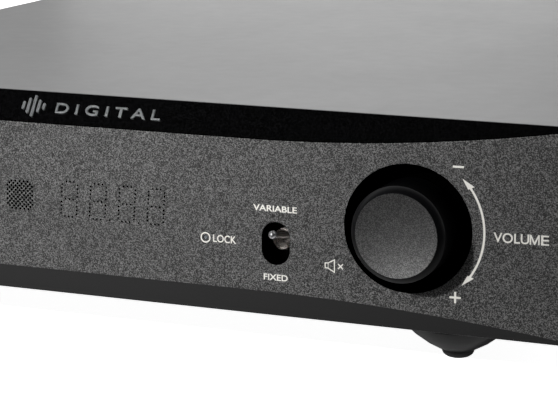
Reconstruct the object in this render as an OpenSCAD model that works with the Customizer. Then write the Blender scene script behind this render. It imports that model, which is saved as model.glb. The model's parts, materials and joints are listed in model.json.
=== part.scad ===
// Desktop DAC and preamplifier in a half-width case.
// +X is to the right seen from the front, +Y runs from the front to the rear, +Z is up.
// The origin is on the standing surface, under the middle of the whole object.

/* [Body] */
// Width of the body
body_w = 235; // [232:1:240]
// Height of the body without its feet
body_h = 51; // [50:0.5:53]
// Depth from the front face to the outer face of the rear panel
body_d = 262; // [260:1:275]
// Thickness of the folded cover sheet
cover_t = 1.2; // [1:0.1:1.4]
// Thickness of the base tray sheet
tray_t = 1.5; // [1.2:0.1:1.8]
// Thickness of the rear panel
rear_t = 2; // [1.8:0.1:2.4]

/* [Front panel] */
// Thickness of the front panel behind its flat middle
panel_t = 11; // [10.5:0.5:12]
// Width of the flat middle of the bowed face
face_flat_w = 64; // [50:2:80]
// How far the face curves back at each end
bow_depth = 5; // [4:0.2:5]
// Depth of the long chamfers over and under the face
chamfer_d = 5; // [4:0.2:5]
// Height of the long chamfers
chamfer_h = 7.3; // [6.5:0.1:7.6]

/* [Volume knob] */
// Distance of the knob axis from the middle of the front
knob_x = 72.6; // [70:0.1:76]
// Outer radius of the knob
knob_r = 11.4; // [11:0.1:11.8]
// Width of the bevel round the knob's face
knob_bevel = 1.4; // [1:0.1:1.8]
// How far the knob stands out of the face
knob_proud = 7; // [6.8:0.1:9]
// Radius of the round recess behind the knob
recess_r = 15.3; // [15:0.1:16]
// Depth of that recess
recess_depth = 7; // [6.5:0.1:7.2]
// Travel of the knob when it is pressed
push_travel = 0.8; // [0.5:0.1:0.8]

/* [Output switch] */
// Distance of the switch slot from the middle of the front
slot_x = 40.1; // [38:0.1:41]
// Width of the slot
slot_w = 7; // [6.8:0.1:7.2]
// Height of the slot with its round ends
slot_h = 10.3; // [10:0.1:10.6]
// Angle of the lever above or below level
toggle_tilt = 13; // [11:0.5:13]

/* [Feet] */
// Height of a foot under the body
foot_h = 9.5; // [8.5:0.5:11]
// Distance of a front foot behind the front face
foot_inset_y = 20; // [18:1:24]
// Distance of each foot from the middle of the body
foot_x = 79.5; // [74:0.5:84]

/* [Connectors] */
// How far the round phono jacks stand out of the rear panel
jack_out = 10.9; // [9.5:0.1:11]
// Radius of a phono jack's outer contact
jack_r = 4.15; // [4.1:0.05:4.2]

/* [Hidden] */
$fn = 48;
total_d = knob_proud + body_d + jack_out;
face_y = knob_proud - total_d / 2;
rear_y = face_y + body_d;
half_w = body_w / 2;
side_gap = 0.1;
inner_half_w = half_w - cover_t - side_gap;
skin_z = body_h - cover_t;
floor_z = 1;
floor_top = floor_z + tray_t;
rear_in = body_d - rear_t;
flat_x = face_flat_w / 2;
bow_run = half_w - flat_x;
bow_r = (bow_run * bow_run + bow_depth * bow_depth) / (2 * bow_depth);
bow_fn = 720;
eps = 0.01;
panel_skin = 2;

// Heights above the body's underside
knob_z = 25.2;
slot_z = 19.1;
digit_z = 25.4;
digit_x = -3;
ir_x = -28.6;
led_x = 21.9;
led_z = 19;

// Fasteners
m3_r = 1.5;
m3_tap_r = 1.25;
m3_clear_r = 1.7;
m3_head_r = 2.8;
m3_head_h = 1.6;
hex_post_r = 3.2;

// Front controls, as distances behind the face
encoder_bush_r = 3.5;
encoder_shaft_r = 3;
running_gap = 0.06;
grub_y = -2;
encoder_half = 7;
encoder_back = 18;
plunger_r = 2;
plunger_y = 13.25;
plunger_len = 2.8;
toggle_pivot_y = 9;
toggle_bush_r = 2.6;
toggle_bush_y = 4.2;
toggle_body_y = 10.2;
front_board_y = 19;
board_t = 1.6;

// Boards inside
board_z = 8.5;
board_top = board_z + board_t;
main_x = [-22, 111];
main_y = [122, 256];
power_x = [-112, -28];
power_y = [132, 234];
toroid_x = -68;
toroid_y = 76;

// Rear connectors: X positions, and heights above the body's underside
xlr_x = [97, 66];
xlr_z = 26;
jack_spots = [[40, 36], [40, 15], [18, 36], [18, 15]];
optical_x = -4;
optical_z = 35;
usb_x = -4;
usb_z = 16;
switch_x = -33;
switch_z = 25.5;
inlet_x = -82;
inlet_z = 24;
rear_screw_spots = [[-110, 5], [-55, 5], [8, 5], [55, 5], [111, 5], [-110, 46], [111, 46]];

// ---- Places and small shapes ----

// Local frame of the front: y = 0 on the face, +Y into the body, z = 0 under the body
module at_front() translate([0, face_y, foot_h]) children();

// Local frame of the rear: y = 0 on the rear panel's outer face, +Y outwards
module at_rear() translate([0, rear_y, foot_h]) children();

// Round bar or cone along +Y from the point (x, y, z)
module bar_y(x, y, z, h, r, r_end = undef)
    translate([x, y, z]) rotate([-90, 0, 0]) cylinder(h = h, r1 = r, r2 = is_undef(r_end) ? r : r_end);

// Round bar along +X from the point (x, y, z)
module bar_x(x, y, z, h, r)
    translate([x, y, z]) rotate([0, 90, 0]) cylinder(h = h, r = r);

// Box given by its lowest and highest corners
module block(a, b) translate(a) cube(b - a);

// Upright slot with round ends, cut or drawn along +Y
module stadium_y(x, y, z, w, h, depth) {
    straight = h - w;
    for (s = [-1, 1]) bar_y(x, y, z + s * straight / 2, depth, w / 2);
    translate([x - w / 2, y, z - straight / 2]) cube([w, depth, straight]);
}

// Flat plate with rounded corners, standing in the XZ plane
module plate_y(x, y, z, w, h, t, r) {
    for (sx = [-1, 1], sz = [-1, 1]) bar_y(x + sx * (w / 2 - r), y, z + sz * (h / 2 - r), t, r);
    translate([x - w / 2, y, z - h / 2 + r]) cube([w, t, h - 2 * r]);
    translate([x - w / 2 + r, y, z - h / 2]) cube([w - 2 * r, t, h]);
}

// Hexagonal bar along +Y, r across the corners
module hex_y(x, y, z, h, r) translate([x, y, z]) rotate([-90, 0, 0]) cylinder(h = h, r = r, $fn = 6);

// Button-head screw standing on a face: the head points along +Y, the shank runs back
module button_screw(x, y, z, shank) {
    hex_key_r = 1.1;
    difference() {
        union() {
            bar_y(x, y, z, m3_head_h, m3_head_r, m3_head_r * 0.75);
            bar_y(x, y - shank, z, shank, m3_r);
        }
        hex_y(x, y + m3_head_h - 1, z, 2, hex_key_r);
    }
}

// ---- Outline of the body ----

// Plan of the body: flat in the middle of the front, curving back to each end
module body_plan() {
    translate([-flat_x, 0]) square([face_flat_w, body_d]);
    for (side = [0, 1]) mirror([side, 0])
        intersection() {
            translate([flat_x, bow_r]) circle(r = bow_r, $fn = bow_fn);
            translate([flat_x - eps, 0]) square([bow_run + eps, body_d]);
        }
}

// Side view of the body with its two long front chamfers
module body_side() polygon([
    [0, chamfer_h], [chamfer_d, 0], [body_d, 0],
    [body_d, body_h], [chamfer_d, body_h], [0, body_h - chamfer_h],
]);

module body_envelope() intersection() {
    linear_extrude(height = body_h) body_plan();
    translate([-half_w, 0, 0]) rotate([90, 0, 90]) linear_extrude(height = body_w) body_side();
}

// ---- Front panel and chassis ----

panel_screw_x = [-100, -34, 34, 100];
panel_screw_z = 5.8;
front_post_spots = [[-44, 14], [-44, 38], [55, 14], [55, 38]];
bracket_screw_z = [22, 40];
bracket_screw_x = 106;

module panel_back_holes() {
    tap_depth = 5;
    for (x = panel_screw_x) bar_y(x, panel_t - tap_depth, panel_screw_z, tap_depth + eps, m3_tap_r);
    for (s = front_post_spots) bar_y(s[0], panel_t - tap_depth, s[1], tap_depth + eps, m3_tap_r);
    for (side = [-1, 1], z = bracket_screw_z)
        bar_y(side * bracket_screw_x, panel_t - tap_depth + 1, z, tap_depth, m3_tap_r);
}

module front_panel() color([0.16, 0.16, 0.17]) at_front() difference() {
    rim_bevel = 0.4;
    pocket_w = 38;
    pocket_h = 17;
    switch_pocket = 20;
    intersection() {
        body_envelope();
        block([-half_w, 0, 0], [half_w, panel_t, skin_z]);
    }
    // knob recess with a small bevel at its rim, and the hole for the encoder's bush
    bar_y(knob_x, -1, knob_z, recess_depth + 1, recess_r);
    bar_y(knob_x, -eps, knob_z, rim_bevel, recess_r + rim_bevel, recess_r);
    bar_y(knob_x, 0, knob_z, panel_t + 1, encoder_bush_r + 0.1);
    // switch slot, with a wide pocket behind it
    stadium_y(slot_x, -1, slot_z, slot_w, slot_h, panel_t + 2);
    block([slot_x - switch_pocket / 2, 3, slot_z - 8], [slot_x + switch_pocket / 2, panel_t + 1, slot_z + 8]);
    // display pocket, receiver pocket and the hole of the lock lamp
    block([digit_x - pocket_w / 2, panel_skin, digit_z - pocket_h / 2],
          [digit_x + pocket_w / 2, panel_t + 1, digit_z + pocket_h / 2]);
    bar_y(ir_x, panel_skin, digit_z, panel_t, 5.5);
    bar_y(led_x, -1, led_z, panel_t, 0.5);
    bar_y(led_x, 3, led_z, panel_t, 1.6);
    panel_back_holes();
}

vent_rows = [-40, 0, 40];
vent_count = 9;
cover_screw_y = [24, 135, 246];
cover_screw_z = 7;

module base_tray() color([0.1, 0.1, 0.1]) at_front() difference() {
    flange_h = 12;
    front_flange_h = 8;
    rear_flange_h = 7.5;
    vent_w = 3;
    vent_l = 26;
    vent_step = 9;
    union() {
        block([-inner_half_w, panel_t, floor_z], [inner_half_w, rear_in, floor_top]);
        for (side = [0, 1]) mirror([side, 0, 0])
            block([inner_half_w - tray_t, panel_t, floor_z], [inner_half_w, rear_in, floor_z + flange_h]);
        block([-112, panel_t, floor_z], [112, panel_t + tray_t, floor_z + front_flange_h]);
        block([-inner_half_w, rear_in - tray_t, floor_z], [inner_half_w, rear_in, floor_z + rear_flange_h]);
    }
    // cooling slots, in three blocks across the floor
    for (x = vent_rows, i = [0 : vent_count - 1])
        block([x - vent_l / 2, 140 + i * vent_step, 0],
              [x + vent_l / 2, 140 + i * vent_step + vent_w, floor_top + 1]);
    for (x = panel_screw_x) bar_y(x, panel_t - 1, panel_screw_z, 5, m3_clear_r);
    for (s = rear_screw_spots) if (s[1] < 10) bar_y(s[0], rear_in - 4, s[1], 6, m3_clear_r);
    for (x = [-1, 1], y = foot_rows()) translate([x * foot_x, y, 0]) cylinder(h = 5, r = 2.2);
    for (p = post_spots()) translate([p[0], p[1], 0]) cylinder(h = 5, r = m3_clear_r);
    translate([toroid_x, toroid_y, 0]) cylinder(h = 5, r = 2.7);
    for (y = cover_screw_y) bar_x(-half_w, y, cover_screw_z, body_w, m3_tap_r + 0.35);
}

module top_cover() color([0.62, 0.62, 0.63]) at_front() difference() {
    union() {
        intersection() {
            body_envelope();
            block([-half_w, 0, skin_z], [half_w, body_d, body_h]);
        }
        for (side = [0, 1]) mirror([side, 0, 0])
            block([half_w - cover_t, panel_t, floor_z], [half_w, body_d, skin_z + eps]);
    }
    for (side = [0, 1], y = cover_screw_y) mirror([side, 0, 0])
        translate([half_w, y, cover_screw_z]) rotate([0, -90, 0]) {
            translate([0, 0, -eps]) cylinder(h = cover_t + eps, r1 = m3_head_r + 0.1, r2 = m3_r + 0.2);
            cylinder(h = cover_t + 1, r = m3_r + 0.15);
        }
}

module panel_brackets() color([0.7, 0.7, 0.7]) at_front() for (side = [0, 1]) mirror([side, 0, 0])
    difference() {
        leg = 24;
        low_z = 14;
        high_z = 46;
        out_x = inner_half_w - tray_t - side_gap;
        union() {
            block([out_x - 15, panel_t, low_z], [out_x, panel_t + tray_t, high_z]);
            block([out_x - tray_t, panel_t, low_z], [out_x, panel_t + leg, high_z]);
            block([out_x - tray_t, panel_t + tray_t + 1, 3.5], [out_x, panel_t + leg, low_z + eps]);
        }
        for (z = bracket_screw_z) bar_y(bracket_screw_x, panel_t - 1, z, 5, m3_clear_r);
        bar_x(out_x - 5, cover_screw_y[0], cover_screw_z, 8, m3_clear_r);
    }

// Pan-head screws that hold the panel from behind
module panel_screws() color([0.75, 0.75, 0.75]) at_front() {
    reach = 4.5;
    seat_y = panel_t + tray_t;
    for (x = panel_screw_x) {
        bar_y(x, seat_y, panel_screw_z, 2, m3_head_r);
        bar_y(x, seat_y - tray_t - reach, panel_screw_z, tray_t + reach, m3_tap_r - 0.05);
    }
    for (side = [-1, 1], z = bracket_screw_z) {
        bar_y(side * bracket_screw_x, seat_y, z, 2, m3_head_r);
        bar_y(side * bracket_screw_x, seat_y - tray_t - 3.5, z, tray_t + 3.5, m3_tap_r - 0.05);
    }
}

module cover_screws() color([0.2, 0.2, 0.2]) at_front()
    for (side = [0, 1], y = cover_screw_y) mirror([side, 0, 0])
        translate([half_w, y, cover_screw_z]) rotate([0, -90, 0]) difference() {
            union() {
                cylinder(h = cover_t, r1 = m3_head_r, r2 = m3_r);
                cylinder(h = 5, r = m3_r);
            }
            translate([0, 0, -eps]) cylinder(h = 0.9, r = 1.1, $fn = 6);
        }

// ---- Feet ----

function foot_rows() = [foot_inset_y, body_d - foot_inset_y - 6];
foot_spots = [for (x = [-foot_x, foot_x], y = foot_rows()) [x, y]];
pad_h = 1.9;
pad_r = 4;

// Flared foot: a wide flange that runs in to a narrow nose
module foot_cones() color([0.05, 0.05, 0.05]) at_front() for (p = foot_spots)
    translate([p[0], p[1], 0]) difference() {
        boss_r = 8.5;
        flange_r = 13.6;
        flange_z = -0.6;
        nose_z = pad_h - foot_h;
        rotate_extrude() polygon([
            [0, floor_z], [boss_r, floor_z], [boss_r, 0], [flange_r, 0], [flange_r, flange_z],
            [10.8, -3.3], [7.7, -5.6], [pad_r + 0.1, nose_z], [0, nose_z],
        ]);
        translate([0, 0, nose_z + 2.5]) cylinder(h = 10, r = 2.1);
    }

// Rubber nose under each foot, with a small flat to stand on
module foot_pads() color([0.03, 0.03, 0.03]) at_front() for (p = foot_spots)
    translate([p[0], p[1], -foot_h]) rotate_extrude()
        polygon([[0, 0], [2.2, 0], [3, 0.3], [3.6, 0.8], [3.9, 1.4], [pad_r, pad_h], [0, pad_h]]);

module foot_screws() color([0.75, 0.75, 0.75]) at_front() for (p = foot_spots)
    translate([p[0], p[1], 0]) {
        translate([0, 0, floor_top]) cylinder(h = 2, r = 3.5);
        translate([0, 0, -4]) cylinder(h = 4 + floor_top, r = 2);
    }

// ---- Volume knob and encoder ----

module volume_knob() color([0.3, 0.3, 0.31]) at_front() difference() {
    back_y = 5.5;
    shell_r = 6.6;
    union() {
        bar_y(knob_x, -knob_proud, knob_z, knob_bevel, knob_r - knob_bevel, knob_r);
        bar_y(knob_x, knob_bevel - knob_proud, knob_z, knob_proud + back_y - knob_bevel, knob_r);
    }
    bar_y(knob_x, -4.7, knob_z, 11, encoder_shaft_r + 0.02);
    bar_y(knob_x, 1.2, knob_z, 6, shell_r);
    // tapped hole of the grub screw, underneath
    translate([knob_x, grub_y, knob_z - knob_r - 1]) cylinder(h = knob_r, r = m3_r + 0.02);
}

module knob_grub_screw() color([0.2, 0.2, 0.2]) at_front()
    translate([knob_x, grub_y, knob_z - knob_r + 0.8]) difference() {
        cylinder(h = 7.5, r = m3_r);
        translate([0, 0, -eps]) cylinder(h = 2, r = 0.85, $fn = 6);
    }

module encoder_shaft() color([0.75, 0.75, 0.76]) at_front() {
    bar_y(knob_x, -4.5, knob_z, 17.7, encoder_shaft_r);
    bar_y(knob_x, 12.2, knob_z, 1, 4.2);
}

module push_plunger() color([0.9, 0.9, 0.88]) at_front()
    bar_y(knob_x, plunger_y, knob_z, plunger_len, plunger_r);

module encoder_bush() color([0.72, 0.7, 0.66]) at_front() difference() {
    bar_y(knob_x, 3.6, knob_z, panel_t - 3.6, encoder_bush_r);
    bar_y(knob_x, 3, knob_z, panel_t, encoder_shaft_r + running_gap);
}

module encoder_nut() color([0.72, 0.7, 0.66]) at_front() difference() {
    hex_y(knob_x, recess_depth - 2, knob_z, 2, 5.8);
    bar_y(knob_x, recess_depth - 3, knob_z, 4, encoder_bush_r + 0.02);
}

module encoder_body() color([0.35, 0.35, 0.36]) at_front() difference() {
    block([knob_x - encoder_half, panel_t, knob_z - encoder_half],
          [knob_x + encoder_half, encoder_back, knob_z + encoder_half]);
    bar_y(knob_x, panel_t - 1, knob_z, 3, encoder_shaft_r + 0.2);
    bar_y(knob_x, panel_t + 1, knob_z, plunger_y + plunger_len + push_travel + 0.3 - panel_t - 1, 4.6);
}

// ---- Output switch ----

module toggle_lever() color([0.85, 0.85, 0.86]) at_front()
    translate([slot_x, toggle_pivot_y, slot_z]) rotate([-toggle_tilt, 0, 0]) {
        tip_len = 11;
        sphere(r = 1.3);
        bar_x(-1.5, 0, 0, 3, 0.5);
        bar_y(0, -tip_len, 0, tip_len, 0.8, 0.6);
        bar_y(0, 0, 0, 3, 0.7);
        translate([0, -tip_len, 0]) sphere(r = 1.05);
    }

module toggle_bush() color([0.75, 0.72, 0.7]) at_front() difference() {
    bar_y(slot_x, toggle_bush_y, slot_z, toggle_body_y - toggle_bush_y, toggle_bush_r);
    bar_y(slot_x, toggle_bush_y - eps, slot_z, 4, 2.3, 1.65);
    bar_y(slot_x, toggle_bush_y + 3, slot_z, 8, 1.65);
}

module toggle_body() color([0.06, 0.06, 0.06]) at_front() difference() {
    block([slot_x - 3.4, toggle_body_y, slot_z - 6.4], [slot_x + 3.4, front_board_y, slot_z + 6.4]);
    bar_y(slot_x, toggle_body_y - 1, slot_z, 5, 2.2);
}

// ---- Display, receiver and lamp ----

module display_window() color([0.08, 0.08, 0.1, 0.8]) at_front()
    block([digit_x - 18.6, panel_skin, digit_z - 8.1], [digit_x + 18.6, panel_skin + 2, digit_z + 8.1]);

module display_module() color([0.12, 0.12, 0.12]) at_front() difference() {
    block([digit_x - 15.1, panel_skin + 2.2, digit_z - 7], [digit_x + 15.1, front_board_y, digit_z + 7]);
    for (i = [-1 : 1]) block([digit_x + i * 7.5 - 0.3, 0, digit_z - 8], [digit_x + i * 7.5 + 0.3, 5, digit_z + 8]);
}

module ir_receiver() color([0.06, 0.05, 0.08]) at_front() {
    bar_y(ir_x, panel_skin + 0.3, digit_z, 1.7, 2, 2.6);
    block([ir_x - 3, panel_skin + 2, digit_z - 3.4], [ir_x + 3, panel_skin + 6, digit_z + 3.4]);
    block([ir_x - 2.6, panel_skin + 6 - eps, digit_z - 2.6], [ir_x + 2.6, front_board_y, digit_z - 0.8]);
}

module lock_light_pipe() color([0.85, 0.9, 0.95]) at_front() {
    bar_y(led_x, 0.1, led_z, 3.5, 0.45);
    bar_y(led_x, 3.3, led_z, front_board_y - 3.3, 1.4);
}

module front_board() color([0.05, 0.25, 0.12]) at_front() difference() {
    block([-50, front_board_y, 11], [60, front_board_y + board_t, 42]);
    for (s = front_post_spots) bar_y(s[0], front_board_y - 1, s[1], 4, m3_clear_r);
}

module front_board_posts() color([0.8, 0.68, 0.4]) at_front() for (s = front_post_spots) difference() {
    union() {
        hex_y(s[0], panel_t, s[1], front_board_y - panel_t, hex_post_r);
        bar_y(s[0], panel_t - 4.5, s[1], 5, m3_tap_r - 0.05);
    }
    bar_y(s[0], panel_t + 2, s[1], 8, m3_tap_r);
}

module front_board_screws() color([0.75, 0.75, 0.75]) at_front() for (s = front_post_spots) {
    bar_y(s[0], front_board_y + board_t, s[1], 2, m3_head_r);
    bar_y(s[0], front_board_y - 4, s[1], 4 + board_t, m3_tap_r - 0.05);
}

// ---- Power supply ----

core_z = floor_top + 1.5;
core_h = 31;
core_r = 39;
core_hole_r = 11;

// Cross-section of the wound ring, with round corners
module ring_section() {
    corner = 7;
    ring_w = core_r - core_hole_r;
    translate([core_hole_r + corner, 0]) square([ring_w - 2 * corner, core_h]);
    translate([core_hole_r, corner]) square([ring_w, core_h - 2 * corner]);
    for (x = [core_hole_r + corner, core_r - corner], y = [corner, core_h - corner])
        translate([x, y]) circle(r = corner);
}

module at_toroid(z) translate([toroid_x, toroid_y, z]) children();

module toroidal_transformer() color([0.75, 0.6, 0.2]) at_front() at_toroid(core_z)
    rotate_extrude() ring_section();

module transformer_pads() color([0.05, 0.05, 0.05]) at_front() for (z = [floor_top, core_z + core_h])
    at_toroid(z) difference() {
        cylinder(h = 1.5, r = core_r - 3);
        translate([0, 0, -1]) cylinder(h = 4, r = 6);
    }

module transformer_plate() color([0.7, 0.7, 0.7]) at_front() at_toroid(core_z + core_h + 1.5) difference() {
    cylinder(h = 1.5, r = core_r - 8);
    translate([0, 0, -1]) cylinder(h = 4, r = 2.7);
}

module transformer_bolt() color([0.75, 0.75, 0.75]) at_front() at_toroid(core_z + core_h + 3) {
    cylinder(h = 3.5, r = 4.6, $fn = 6);
    translate([0, 0, floor_z - core_z - core_h - 3]) cylinder(h = core_z + core_h + 3.5 - floor_z, r = 2.5);
}

main_posts = [for (x = [main_x[0] + 5, main_x[1] - 5], y = [main_y[0] + 5, 228]) [x, y]];
power_posts = [for (x = [power_x[0] + 5, power_x[1] - 5], y = [power_y[0] + 5, power_y[1] - 5]) [x, y]];
function post_spots() = concat(main_posts, power_posts);

module board_posts() color([0.8, 0.68, 0.4]) at_front() for (p = post_spots())
    translate([p[0], p[1], floor_top]) difference() {
        cylinder(h = board_z - floor_top, r = hex_post_r, $fn = 6);
        translate([0, 0, -1]) cylinder(h = 10, r = m3_r + 0.05);
    }

module board_screws() color([0.75, 0.75, 0.75]) at_front() for (p = post_spots())
    translate([p[0], p[1], 0]) {
        translate([0, 0, board_top]) cylinder(h = 2, r = m3_head_r);
        translate([0, 0, floor_z]) cylinder(h = board_top - floor_z, r = m3_r);
    }

module board_with_holes(xs, ys, posts) difference() {
    block([xs[0], ys[0], board_z], [xs[1], ys[1], board_top]);
    for (p = posts) translate([p[0], p[1], board_z - 1]) cylinder(h = 4, r = m3_clear_r);
}

module power_board() color([0.05, 0.25, 0.12]) at_front() board_with_holes(power_x, power_y, power_posts);

cap_spots = [for (i = [0 : 3]) [-98 + i * 20, 154]];

module filter_capacitors() color([0.1, 0.12, 0.3]) at_front() for (p = cap_spots)
    translate([p[0], p[1], board_top]) difference() {
        cap_r = 8;
        cap_h = 25;
        cylinder(h = cap_h, r = cap_r);
        translate([0, 0, 3]) rotate_extrude() translate([cap_r + 0.4, 0]) circle(r = 1);
        for (a = [0, 90]) translate([0, 0, cap_h]) rotate([0, 0, a]) cube([12, 0.5, 0.6], center = true);
    }

module regulator_heatsink() color([0.15, 0.15, 0.15]) at_front() difference() {
    fin_step = 6;
    block([-100, 186, board_top], [-40, 200, board_top + 24]);
    for (i = [0 : 8]) block([-97 + i * fin_step, 190, board_top - 1], [-93.4 + i * fin_step, 201, board_top + 25]);
}

module bridge_rectifier() color([0.08, 0.08, 0.08]) at_front()
    block([-78, 172, board_top], [-58, 176, board_top + 15]);

// ---- Main board parts ----

module main_board() color([0.05, 0.25, 0.12]) at_front() board_with_holes(main_x, main_y, main_posts);

module chip(x, y, w, l, h) translate([x - w / 2, y - l / 2, board_top]) difference() {
    cube([w, l, h]);
    translate([1.5, 1.5, h - 0.2]) cylinder(h = 1, r = 0.6);
}

module dac_chip() color([0.07, 0.07, 0.07]) at_front() chip(60, 185, 10, 10, 1.4);

module digital_chips() color([0.07, 0.07, 0.07]) at_front() {
    chip(8, 190, 14, 14, 1.6);
    chip(30, 170, 9, 9, 1.4);
}

module op_amps() color([0.07, 0.07, 0.07]) at_front()
    for (x = [74, 92], y = [172, 188, 204]) chip(x, y, 6.5, 9.8, 3.4);

module output_relays() color([0.9, 0.9, 0.92]) at_front()
    for (x = [56, 72, 88]) block([x - 5, 220, board_top], [x + 5, 233, board_top + 9]);

// Flat cable over the boards, with a plug at each end
module front_ribbon_cable() color([0.6, 0.6, 0.62]) at_front() {
    ribbon_w = 26;
    ribbon_z = 19;
    x0 = 2;
    block([x0 - 15, front_board_y + board_t, ribbon_z - 4], [x0 + 15, front_board_y + board_t + 9, ribbon_z + 4]);
    block([x0 - ribbon_w / 2, front_board_y + board_t + 9 - eps, ribbon_z], [x0 + ribbon_w / 2, 128, ribbon_z + 0.9]);
    block([x0 - 15, 128 - eps, board_top], [x0 + 15, 134, ribbon_z + 3]);
}

module transformer_leads() color([0.7, 0.1, 0.1]) at_front() for (x = [-84, -76, -60, -52]) {
    lead_r = 1.1;
    plug_y = 143;
    off_axis = abs(x - toroid_x) - lead_r;
    start_y = toroid_y + sqrt(core_r * core_r - off_axis * off_axis);
    bar_y(x, start_y, 20, plug_y - start_y, lead_r);
    block([x - 3, plug_y - eps, board_top], [x + 3, plug_y + 2, 24]);
}

// Insulated leads from the inlet's tabs to the mains switch, each a flat U behind the panel
module mains_leads() color([0.4, 0.25, 0.1]) at_rear() for (i = [0, 1]) {
    lead_r = 1.2;
    bend = 5;
    z = inlet_z - 4 + i * 9;
    run_y = -36;
    start_x = inlet_x + 6;
    end_x = switch_x - 3;
    bar_y(start_x, run_y + bend, z, -23 - run_y - bend, lead_r);
    bar_y(end_x, run_y + bend, z, -15.5 - run_y - bend, lead_r);
    bar_x(start_x + bend, run_y, z, end_x - start_x - 2 * bend, lead_r);
    translate([start_x + bend, run_y + bend, z]) rotate([0, 0, 180])
        rotate_extrude(angle = 90) translate([bend, 0]) circle(r = lead_r);
    translate([end_x - bend, run_y + bend, z]) rotate([0, 0, 270])
        rotate_extrude(angle = 90) translate([bend, 0]) circle(r = lead_r);
}

// ---- Rear panel ----

module rear_panel() color([0.09, 0.09, 0.09]) at_rear() difference() {
    block([-inner_half_w, -rear_t, floor_z], [inner_half_w, 0, skin_z - side_gap]);
    for (x = xlr_x) {
        bar_y(x, -3, xlr_z, 4, 11.2);
        for (s = [-1, 1]) bar_y(x + s * 9.5, -3, xlr_z - s * 12, 4, m3_clear_r);
    }
    for (s = jack_spots) bar_y(s[0], -3, s[1], 4, 5);
    block([optical_x - 6.6, -3, optical_z - 6.1], [optical_x + 6.6, 1, optical_z + 6.1]);
    block([usb_x - 6.2, -3, usb_z - 5.7], [usb_x + 6.2, 1, usb_z + 5.7]);
    block([switch_x - 6.6, -3, switch_z - 9.7], [switch_x + 6.6, 1, switch_z + 9.7]);
    block([inlet_x - 14.1, -3, inlet_z - 14.1], [inlet_x + 14.1, 1, inlet_z + 14.1]);
    for (s = [-1, 1]) bar_y(inlet_x + s * 20, -3, inlet_z, 4, m3_clear_r);
    for (s = rear_screw_spots) bar_y(s[0], -3, s[1], 4, m3_clear_r);
}

module rear_screws() color([0.25, 0.25, 0.25]) at_rear() {
    for (s = rear_screw_spots) button_screw(s[0], 0, s[1], 5);
    for (x = xlr_x, s = [-1, 1]) button_screw(x + s * 9.5, 1.5, xlr_z - s * 12, 6);
    for (s = [-1, 1]) button_screw(inlet_x + s * 20, 2.2, inlet_z, 7);
}

// ---- Mains inlet with its fuse drawer ----

drawer_w = 21.4;
drawer_h = 5.8;
drawer_z = inlet_z - 9.6;
drawer_len = 19;
slide_gap = 0.3;
socket_w = 24;
socket_h = 16.4;
socket_z = inlet_z + 4.3;
socket_depth = 16;

module mains_inlet() color([0.06, 0.06, 0.06]) at_rear() difference() {
    flange_t = 2.2;
    corner_cut = 4.5;
    union() {
        plate_y(inlet_x, 0, inlet_z, 49, 31, flange_t, 4);
        block([inlet_x - 14, -23, inlet_z - 14], [inlet_x + 14, eps, inlet_z + 14]);
    }
    // socket with its two cut corners
    difference() {
        block([inlet_x - socket_w / 2, flange_t - socket_depth, socket_z - socket_h / 2],
              [inlet_x + socket_w / 2, flange_t + 1, socket_z + socket_h / 2]);
        for (s = [-1, 1]) translate([inlet_x + s * socket_w / 2, -20, socket_z + socket_h / 2])
            rotate([0, 45, 0]) cube([corner_cut, 60, corner_cut], center = true);
    }
    block([inlet_x - drawer_w / 2 - slide_gap, flange_t - drawer_len - 1, drawer_z - drawer_h / 2 - slide_gap],
          [inlet_x + drawer_w / 2 + slide_gap, flange_t + 1, drawer_z + drawer_h / 2 + slide_gap]);
    for (s = [-1, 1]) bar_y(inlet_x + s * 20, -1, inlet_z, 4, m3_clear_r);
}

module inlet_pins() color([0.8, 0.8, 0.8]) at_rear() {
    pin_len = 13;
    base_y = 2.2 - socket_depth;
    for (p = [[-7, -2], [7, -2], [0, 2]])
        block([inlet_x + p[0] - 1, base_y, socket_z + p[1] - 2],
              [inlet_x + p[0] + 1, base_y + pin_len, socket_z + p[1] + 2]);
}

module fuse_drawer() color([0.1, 0.1, 0.1]) at_rear() difference() {
    lip = 0.8;
    front_y = 2.2;
    union() {
        block([inlet_x - drawer_w / 2, front_y - drawer_len, drawer_z - drawer_h / 2],
              [inlet_x + drawer_w / 2, front_y, drawer_z + drawer_h / 2]);
        block([inlet_x - 5, front_y - eps, drawer_z - drawer_h / 2],
              [inlet_x + 5, front_y + lip, drawer_z - drawer_h / 2 + 1.6]);
    }
    block([inlet_x - 10.1, front_y - drawer_len + 1.2, drawer_z - 2.6],
          [inlet_x + 10.1, front_y - drawer_len + 6.6, drawer_z + 4]);
    block([inlet_x - 4, front_y - 1.2, drawer_z - 0.6], [inlet_x + 4, front_y + 1, drawer_z + 1.6]);
}

module fuse() color([0.85, 0.9, 0.9]) at_rear()
    bar_x(inlet_x - 10, 2.2 - drawer_len + 3.9, drawer_z, 20, 2.5);

// ---- Mains switch ----

rocker_w = 10.2;
rocker_pivot_y = -3.2;
rocker_tilt = 10;

module power_switch_frame() color([0.06, 0.06, 0.06]) at_rear() difference() {
    union() {
        plate_y(switch_x, 0, switch_z, 15, 21.5, 1.5, 1.5);
        block([switch_x - 6.4, -15, switch_z - 9.5], [switch_x + 6.4, eps, switch_z + 9.5]);
    }
    block([switch_x - rocker_w / 2 - 0.3, -9, switch_z - 8.2], [switch_x + rocker_w / 2 + 0.3, 2, switch_z + 8.2]);
    bar_x(switch_x - 6.1, rocker_pivot_y, switch_z, 12.2, 1 + running_gap);
}

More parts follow.
